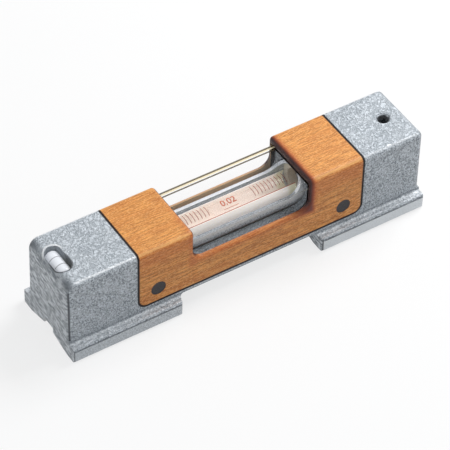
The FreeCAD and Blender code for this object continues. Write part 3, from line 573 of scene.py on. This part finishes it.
def spirit_liquid():
    """Liquid with a faint pink in it."""
    f = Finish("spirit_liquid")
    drift = f.noise(0.4, detail=2.0, grain=(0.3, 1, 1))
    tint = f.blend(drift, srgb(255, 244, 238), srgb(250, 232, 224))
    solid = f.principled({"Base Color": tint, "Roughness": 0.1})
    return f.done(f.see_through(0.03 + f.fade(f.graze(), 0.5, 1.0) * 0.1, solid, (1, 0.985, 0.978, 1)))


def air_bubble():
    """The bubble, which shows as a thin rim in the liquid: the darker rim at a graze is painted light."""
    f = Finish("air_bubble")
    drift = f.noise(0.6, detail=1.0)
    edge = f.graze()
    # Darker rim at a graze: painted light, for the light the bubble's edge bends away.
    tint = f.blend(f.fade(edge, 0.55, 0.9), srgb(250, 246, 240), srgb(150, 132, 122))
    solid = f.principled({"Base Color": tint, "Roughness": 0.06 + drift * 0.03})
    return f.done(f.see_through(0.04 + f.fade(edge, 0.55, 0.95) * 0.3, solid))


# Finishes of the pieces inside, and of the small ones


def drawn_tube():
    """Aluminium tube with fine marks of drawing along it, painted highlights on its crests, and painted
    shade on its front lip and low in front, where its specks are darker too.
    """
    f = Finish("drawn_aluminium")
    _, y, z = f.spot()
    _, _, nz = f.facing()
    draw = f.noise(2.2, detail=3.0, roughness=0.6, grain=(0.04, 1, 1))
    speck = f.noise(1.2, detail=2.0, roughness=0.8)
    front = y < TUBE_FRONT_Y
    level_top = f.fade(nz, 0.8, 0.95)
    colour = f.blend(f.fade(draw, 0.3, 0.7), srgb(176, 184, 192), srgb(240, 245, 250))
    # Specks, stronger in front as painted shade.
    colour = f.blend(f.fade(speck, 0.46, 0.6) * (0.35 + 0.35 * front), colour, srgb(92, 100, 108))
    # Painted highlights on the crests.
    crest = (level_top * (y > 0)).most(f.fade(z, *TUBE_CREST_Z) * front * (1 - level_top))
    colour = f.blend(crest * 0.7, colour, srgb(250, 252, 255))
    # Painted shade on the front lip.
    colour = f.blend(level_top * (y < 0) * 0.6, colour, srgb(98, 106, 114))
    # Painted shade low in front.
    lower_front = (1 - f.fade(z, *TUBE_SHADE_Z)) * front
    colour = f.blend(lower_front * 0.55, colour, srgb(96, 104, 112))
    return f.done(f.principled({
        "Base Color": colour, "Metallic": 0.35, "Roughness": 0.3 + speck * 0.14,
        "Normal": f.bump(draw * 0.6 + speck * 0.4, 0.04)}))


def turned_brass():
    """Brass with the rings that turning leaves."""
    f = Finish("turned_brass")
    rings = f.node("ShaderNodeTexWave", {"wave_type": "RINGS", "rings_direction": "X"}, {
        "Vector": f.place, "Scale": 0.9, "Distortion": 0.4})
    smear = f.noise(0.9, detail=3.0)
    colour = f.blend(smear, srgb(176, 138, 70), srgb(214, 180, 108))
    return f.done(f.principled({
        "Base Color": colour, "Metallic": 0.9, "Roughness": 0.28 + smear * 0.12,
        "Normal": f.bump(rings, 0.02)}))


def blackened_steel():
    """Blackened steel of the screws, spring, pin and pad."""
    f = Finish("blackened_steel")
    smear = f.noise(1.4, detail=3.0, roughness=0.6)
    colour = f.blend(f.fade(smear, 0.35, 0.7), srgb(58, 60, 63), srgb(96, 99, 103))
    return f.done(f.principled({
        "Base Color": colour, "Metallic": 0.7, "Roughness": 0.34 + smear * 0.16,
        "Normal": f.bump(smear, 0.02)}))


def black_plug():
    """Black plastic with a dull fine grain."""
    f = Finish("black_plug_plastic")
    grain = f.noise(2.6, detail=2.0, roughness=0.7)
    colour = f.blend(f.fade(grain, 0.42, 0.78), srgb(30, 26, 29), srgb(70, 65, 69))
    return f.done(f.principled({
        "Base Color": colour, "Roughness": 0.5 + grain * 0.2, "Normal": f.bump(grain, 0.06)}))


def black_rubber():
    """Thin black gasket."""
    f = Finish("black_gasket_rubber")
    grain = f.noise(3.0, detail=2.0)
    colour = f.blend(grain, srgb(26, 24, 26), srgb(48, 45, 47))
    return f.done(f.principled({
        "Base Color": colour, "Roughness": 0.62 + grain * 0.15, "Normal": f.bump(grain, 0.04)}))


def set_plaster():
    """Off-white plaster."""
    f = Finish("set_plaster")
    grain = f.noise(1.6, detail=4.0, roughness=0.7)
    colour = f.blend(grain, srgb(206, 198, 180), srgb(232, 226, 212))
    return f.done(f.principled({
        "Base Color": colour, "Roughness": 0.8 + grain * 0.1, "Normal": f.bump(grain, 0.12)}))


def sleeve_enamel():
    """Cream-white sleeve round the vial, greener at its ends, which glows a little: the glow is painted
    light for the light that the shells round it hold back.
    """
    f = Finish("sleeve_enamel")
    x, _, _ = f.spot()
    grain = f.noise(1.8, detail=3.0, roughness=0.6)
    colour = f.blend(f.fade(grain, 0.35, 0.7), srgb(250, 240, 232), srgb(255, 250, 244))
    colour = f.blend(f.fade(abs(x - WINDOW_MIDDLE_X), *SLEEVE_ENDS), colour, srgb(222, 218, 192))
    # The emission is painted light.
    return f.done(f.principled({
        "Base Color": colour, "Emission Color": colour, "Emission Strength": 0.14,
        "Roughness": 0.5 + grain * 0.1, "Normal": f.bump(grain, 0.03)}))


def etched_ink(name, dark, light):
    """Colour fired into the etched marks, a little uneven."""
    f = Finish(name)
    wear = f.noise(2.2, detail=2.0, roughness=0.6)
    colour = f.blend(f.fade(wear, 0.35, 0.7), dark, light)
    return f.done(f.principled({"Base Color": colour, "Roughness": 0.55 + wear * 0.1}))


# Finishes on the carried CAD nodes

FINISH_OF_SLOT = {
    "enamel": hammertone_enamel(),
    "beech": lacquered_beech(),
    "acrylic": clear_acrylic(),
    "glass": vial_glass("vial_glass", 0.0),
    "spirit": spirit_liquid(),
    "bubble": air_bubble(),
    "carrier_metal": drawn_tube(),
    "cap_metal": turned_brass(),
    "steel": blackened_steel(),
    "black_plastic": black_plug(),
    "gasket": black_rubber(),
    "plaster": set_plaster(),
    "white_enamel": sleeve_enamel(),
}

for carried in nodes.values():
    for slot in carried.material_slots:
        slot.material = FINISH_OF_SLOT[slot.material.name.split(".")[0]]
# The cross vial's glass is cloudy, and glows a little as painted light.
nodes["cross_vial"].material_slots[0].material = vial_glass("cross_vial_glass", 0.75)
# The cross vial's bed takes the sleeve's finish, with its glow of painted light.
nodes["cross_vial_bed"].material_slots[0].material = FINISH_OF_SLOT["white_enamel"]


# New pieces


WELD = 0.0005
CREASE_DEGREES = 40.0


def new_piece(name, bm, finish, body):
    """Makes a bmesh in millimetres a piece of the level, in metres, that rides on a body."""
    bmesh.ops.remove_doubles(bm, verts=bm.verts, dist=WELD)
    bmesh.ops.recalc_face_normals(bm, faces=bm.faces)
    bmesh.ops.scale(bm, vec=(MM, MM, MM), verts=bm.verts)
    mesh = bpy.data.meshes.new(name)
    bm.to_mesh(mesh)
    bm.free()
    mesh.materials.append(finish)
    mesh.polygons.foreach_set("use_smooth", [True] * len(mesh.polygons))
    mesh.set_sharp_from_angle(angle=math.radians(CREASE_DEGREES))
    piece = bpy.data.objects.new(name, mesh)
    scene.collection.objects.link(piece)
    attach(piece, body)
    return piece


def spun_arc(bm, corners, middle, axis, degrees, steps, rise=0.0):
    """Sweeps a closed outline about an axis, rising by so much at each step."""
    outline = bm.faces.new([bm.verts.new(corner) for corner in corners])
    bmesh.ops.spin(bm, geom=[outline, *outline.edges, *outline.verts], cent=middle, axis=axis,
                   dvec=(0, 0, rise), angle=math.radians(degrees), steps=steps)


def on_vial(along, degrees, radius):
    """A point over the main vial's axis, at an angle from straight up towards the front."""
    angle = math.radians(degrees)
    return along, -radius * math.sin(angle), VIAL_AXIS_Z + radius * math.cos(angle)


VIAL_SIDES = 64
END_ROUNDING = 3.2
END_ROUNDING_STEPS = 7
SEAM_WELD = 0.001
TOUCHING = 0.01
RIM_DEPTH = 0.1


def vial_tube(finish):
    """The main vial's glass, as one closed skin with rounded ends."""
    left, right = extent("main_vial", X)
    bm = bmesh.new()
    profile = [bm.verts.new((x, 0, VIAL_AXIS_Z + r)) for x, r in (
        (left, 0), (left, VIAL_RADIUS), (right, VIAL_RADIUS), (right, 0))]
    edges = [bm.edges.new(pair) for pair in zip(profile, profile[1:])]
    bmesh.ops.spin(bm, geom=[*profile, *edges], cent=(0, 0, VIAL_AXIS_Z), axis=(1, 0, 0),
                   angle=math.tau, steps=VIAL_SIDES, use_merge=True)
    bmesh.ops.remove_doubles(bm, verts=bm.verts, dist=SEAM_WELD)

    def on_rim(corner):
        at_end = min(abs(corner.co.x - left), abs(corner.co.x - right)) < TOUCHING
        return at_end and math.hypot(corner.co.y, corner.co.z - VIAL_AXIS_Z) > VIAL_RADIUS - RIM_DEPTH

    rims = [edge for edge in bm.edges if all(on_rim(corner) for corner in edge.verts)
            and abs(edge.verts[0].co.x - edge.verts[1].co.x) < TOUCHING]
    bmesh.ops.bevel(bm, geom=rims, offset=END_ROUNDING, affect="EDGES", segments=END_ROUNDING_STEPS,
                    profile=0.5, material=-1)
    tube = new_piece("vial_tube", bm, finish, "carrier")
    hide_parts("main_vial")


MARK_STEP = 2.0
MARKS_EACH_SIDE = 10
MARKS_MIDDLE_X = WINDOW_MIDDLE_X - 1.8
FIRST_MARK = 13.0
MARK_FROM, MARK_TO = -20.0, 36.0
MARK_WIDTH = 0.34
MARK_ARC_STEPS = 10


def vial_marks(ink):
    """Two groups of short arcs etched over the vial."""
    bm = bmesh.new()
    low, high = VIAL_RADIUS - MARK_SUNK, VIAL_RADIUS + MARK_RAISED
    for side in (-1, 1):
        for count in range(MARKS_EACH_SIDE):
            middle = MARKS_MIDDLE_X + side * (FIRST_MARK + count * MARK_STEP)
            left, right = middle - MARK_WIDTH / 2, middle + MARK_WIDTH / 2
            corners = [on_vial(left, MARK_FROM, low), on_vial(right, MARK_FROM, low),
                       on_vial(right, MARK_FROM, high), on_vial(left, MARK_FROM, high)]
            spun_arc(bm, corners, (0, 0, VIAL_AXIS_Z), (1, 0, 0), MARK_TO - MARK_FROM,
                     MARK_ARC_STEPS)
    new_piece("vial_marks", bm, ink, "carrier")


NUMBER = "0.02"
NUMBER_HEIGHT = 4.9
NUMBER_MIDDLE_X = WINDOW_MIDDLE_X - 2.7
NUMBER_ANGLE = 9.0
STROKE_THICKENED = 0.07
FIGURE_CURVE_STEPS = 4
BEND_CUTS = 8
BEND_CUT_STEP = 0.35


def vial_number(ink):
    """The vial's value in plain figures, bent round the glass."""
    curve = bpy.data.curves.new("vial_number_outline", "FONT")
    curve.body = NUMBER
    curve.size = NUMBER_HEIGHT
    curve.align_x = "CENTER"
    curve.align_y = "CENTER"
    curve.resolution_u = FIGURE_CURVE_STEPS
    curve.offset = STROKE_THICKENED
    curve.extrude = MARK_RAISED / 2
    flat = bpy.data.objects.new("vial_number_flat", curve)
    mesh = bpy.data.meshes.new_from_object(flat)
    bm = bmesh.new()
    bm.from_mesh(mesh)
    bpy.data.objects.remove(flat)
    bpy.data.curves.remove(curve)
    bpy.data.meshes.remove(mesh)
    for step in range(-BEND_CUTS, BEND_CUTS + 1):
        bmesh.ops.bisect_plane(bm, geom=[*bm.verts, *bm.edges, *bm.faces],
                               plane_co=(0, step * BEND_CUT_STEP, 0), plane_no=(0, 1, 0))
    for corner in bm.verts:
        degrees = NUMBER_ANGLE - math.degrees(corner.co.y / VIAL_RADIUS)
        height = VIAL_RADIUS + corner.co.z + MARK_RAISED / 2
        corner.co = on_vial(NUMBER_MIDDLE_X + corner.co.x, degrees, height)
    new_piece("vial_number", bm, ink, "carrier")


def bar_along(bm, ends, angles, heights):
    """A thin bar along the vial, between two places, two angles and two heights over its axis."""
    corners = [on_vial(ends[0], angle, radius) for angle, radius in zip(
        (angles[0], angles[0], angles[1], angles[1]), (*heights, *reversed(heights)))]
    outline = bm.faces.new([bm.verts.new(corner) for corner in corners])
    grown = bmesh.ops.extrude_face_region(bm, geom=[outline])
    moved = [part for part in grown["geom"] if isinstance(part, bmesh.types.BMVert)]
    bmesh.ops.translate(bm, vec=(ends[1] - ends[0], 0, 0), verts=moved)
    bmesh.ops.reverse_faces(bm, faces=[outline])


SLEEVE_LINE_ANGLES = (51.6, 55.0)
SLEEVE_LINE_RAISED = 0.03
RULE_ENDS = (WINDOW_MIDDLE_X - 6.6, WINDOW_MIDDLE_X + 1.4)
RULE_ANGLES = (38.0, 40.4)


def sleeve_line(ink):
    """The thin red line along the front edge of the white sleeve."""
    bm = bmesh.new()
    bar_along(bm, extent("white_sleeve", X), SLEEVE_LINE_ANGLES,
              (VIAL_RADIUS - MARK_SUNK, VIAL_RADIUS + SLEEVE_LINE_RAISED))
    new_piece("sleeve_line", bm, ink, "carrier")


def number_rule(ink):
    """A plain short rule under the number."""
    bm = bmesh.new()
    bar_along(bm, RULE_ENDS, RULE_ANGLES, (VIAL_RADIUS - MARK_SUNK, VIAL_RADIUS + MARK_RAISED))
    new_piece("number_rule", bm, ink, "carrier")


CROSS_MARK_Y = 2.6
CROSS_MARK_WIDTH = 0.28
CROSS_MARK_REACH = 60.0
CROSS_ARC_STEPS = 14


def cross_vial_marks(ink):
    """Two arcs round the cross vial, either side of its bubble."""
    bm = bmesh.new()
    low, high = CROSS_VIAL_RADIUS - MARK_SUNK, CROSS_VIAL_RADIUS + MARK_RAISED
    start = math.radians(-CROSS_MARK_REACH)
    for middle in (-CROSS_MARK_Y, CROSS_MARK_Y):
        near, far = middle - CROSS_MARK_WIDTH / 2, middle + CROSS_MARK_WIDTH / 2
        corners = [(CROSS_VIAL_X + r * math.sin(start), y, CROSS_VIAL_Z + r * math.cos(start))
                   for y, r in ((near, low), (far, low), (far, high), (near, high))]
        spun_arc(bm, corners, (CROSS_VIAL_X, 0, CROSS_VIAL_Z), (0, 1, 0), 2 * CROSS_MARK_REACH,
                 CROSS_ARC_STEPS)
    new_piece("cross_vial_marks", bm, ink, "level")


THREAD_PITCH = 0.5
THREAD_TURNS = 4
THREAD_STEPS = 28
THREAD_ROOT, THREAD_CREST = SCREW_RADIUS + 0.08, SCREW_RADIUS - 0.22
THREAD_START_Z = SCREW_TOP_Z + 0.8
THREAD_FLANK = 0.2
THREAD_CREST_FLAT = 0.06


def hole_thread(finish):
    """The thread that shows in the adjusting hole, over the screw."""
    bm = bmesh.new()
    crest_z = THREAD_START_Z + THREAD_FLANK
    crest_end_z = crest_z + THREAD_CREST_FLAT
    corners = [(SCREW_X + THREAD_ROOT, 0, THREAD_START_Z), (SCREW_X + THREAD_CREST, 0, crest_z),
               (SCREW_X + THREAD_CREST, 0, crest_end_z),
               (SCREW_X + THREAD_ROOT, 0, crest_end_z + THREAD_FLANK)]
    spun_arc(bm, corners, (SCREW_X, 0, 0), (0, 0, 1), 360 * THREAD_TURNS, THREAD_STEPS * THREAD_TURNS,
             THREAD_PITCH / THREAD_STEPS)
    new_piece("adjusting_hole_thread", bm, finish, "level")


red_brown = etched_ink("vial_mark_ink", srgb(132, 66, 46), srgb(160, 92, 70))
orange_red = etched_ink("vial_number_ink", srgb(178, 74, 40), srgb(200, 98, 58))
line_red = etched_ink("sleeve_line_ink", srgb(176, 100, 78), srgb(198, 124, 100))
dark_grey = etched_ink("cross_mark_ink", srgb(60, 60, 64), srgb(90, 90, 94))

vial_tube(FINISH_OF_SLOT["glass"])
vial_marks(red_brown)
vial_number(orange_red)
sleeve_line(line_red)
number_rule(orange_red)
cross_vial_marks(dark_grey)
hole_thread(FINISH_OF_SLOT["steel"])


# Floor, light and camera


FLOOR_HALF = 3.0
FLOOR_SQUARES = 8
FLOOR_GREY_THROWN, FLOOR_GREY_SEEN = 0.42, 0.95
FLOOR_GLOW = 0.72
SOFT_SKY = (0.96, 0.98, 1, 1)
SOFT_SKY_STRENGTH = 0.42
FULL_STRENGTH = 1.0


def pale_floor():
    """A plain pale floor. The camera, gloss and glass see it white, and it throws less light back."""
    f = Finish("pale_floor")
    seen = f.seen_plainly()
    matt = f.node("ShaderNodeBsdfDiffuse", None, {
        "Color": f.blend(seen, grey(FLOOR_GREY_THROWN), grey(FLOOR_GREY_SEEN))})
    glow = f.node("ShaderNodeEmission", None, {"Color": WHITE, "Strength": FULL_STRENGTH})
    bm = bmesh.new()
    bmesh.ops.create_grid(bm, x_segments=FLOOR_SQUARES, y_segments=FLOOR_SQUARES, size=FLOOR_HALF)
    mesh = bpy.data.meshes.new("floor")
    bm.to_mesh(mesh)
    bm.free()
    mesh.materials.append(f.done(f.either(seen * FLOOR_GLOW, matt, glow)))
    floor = bpy.data.objects.new("floor", mesh)
    scene.collection.objects.link(floor)


def white_surroundings():
    """World light: soft on the level, and plain white to the camera, gloss and glass."""
    world = bpy.data.worlds.new("studio")
    scene.world = world
    world.use_nodes = True
    sky = Shading(world.node_tree)
    soft = sky.node("ShaderNodeBackground", None, {"Color": SOFT_SKY, "Strength": SOFT_SKY_STRENGTH})
    white = sky.node("ShaderNodeBackground", None, {"Color": WHITE, "Strength": FULL_STRENGTH})
    sky.node("ShaderNodeOutputWorld", None, {"Surface": sky.either(sky.seen_plainly(), soft, white)})


# Each lamp's name, its place and width in metres, and its strength
LAMPS = (
    ("lamp_above", (0.62, 0.12, 0.72), 0.5, 0.78),
    ("lamp_left", (-0.9, -0.3, 0.5), 0.6, 0.14),
    ("lamp_front", (0.45, -0.9, 0.3), 0.6, 0.1),
)
LEVEL_MIDDLE = Vector((0, 0, 0.025))


def soft_lamp(name, place, size, strength):
    """A square lamp that looks at the level and lights a face turned to it by so much of full white."""
    data = bpy.data.lights.new(name, "AREA")
    data.shape = "SQUARE"
    data.size = size
    distance = Vector(place) - LEVEL_MIDDLE
    data.energy = strength * math.pi ** 2 * distance.length_squared
    lamp = bpy.data.objects.new(name, data)
    scene.collection.objects.link(lamp)
    turn = distance.to_track_quat("Z", "Y").to_matrix().to_4x4()
    lamp.matrix_world = Matrix.Translation(place) @ turn


# The photograph's own camera: degrees, millimetres, and a focal length in its pixels
CAMERA_AZIMUTH, CAMERA_ELEVATION, CAMERA_ROLL = -33.94, 45.47, 1.97
CAMERA_BACK, CAMERA_RIGHT, CAMERA_UP = 1348.44, -1.04, 12.49
AIM_Z = 1.4
FOCAL_PIXELS = 2769.97
PHOTO_PIXELS = 450
SENSOR_WIDTH = 36.0
NEAREST_SEEN = 0.02


def stand_camera():
    """The photograph's own angle, height, tilt and lens."""
    azimuth, elevation, roll = (math.radians(angle) for angle in (
        CAMERA_AZIMUTH, CAMERA_ELEVATION, CAMERA_ROLL))
    back = Vector((math.sin(azimuth) * math.cos(elevation), -math.cos(azimuth) * math.cos(elevation),
                   math.sin(elevation)))
    level_right = (-back).cross(Vector((0, 0, 1))).normalized()
    level_up = level_right.cross(-back)
    right = math.cos(roll) * level_right + math.sin(roll) * level_up
    up = math.cos(roll) * level_up - math.sin(roll) * level_right
    place = (back * CAMERA_BACK + right * CAMERA_RIGHT + up * CAMERA_UP + Vector((0, 0, AIM_Z))) * MM
    data = bpy.data.cameras.new("camera")
    data.sensor_fit = "HORIZONTAL"
    data.sensor_width = SENSOR_WIDTH
    data.lens = FOCAL_PIXELS / PHOTO_PIXELS * SENSOR_WIDTH
    data.clip_start = NEAREST_SEEN
    camera = bpy.data.objects.new("camera", data)
    scene.collection.objects.link(camera)
    camera.matrix_world = Matrix.Translation(place) @ Matrix((right, up, back)).transposed().to_4x4()
    scene.camera = camera


# The hood, vial, liquid and bubble lie in one another, and a ray goes through every skin of them
SHELLS_IN_ONE_ANOTHER = 32

pale_floor()
white_surroundings()
for lamp in LAMPS:
    soft_lamp(*lamp)
stand_camera()
scene.view_settings.view_transform = "Standard"
scene.cycles.transparent_max_bounces = SHELLS_IN_ONE_ANOTHER
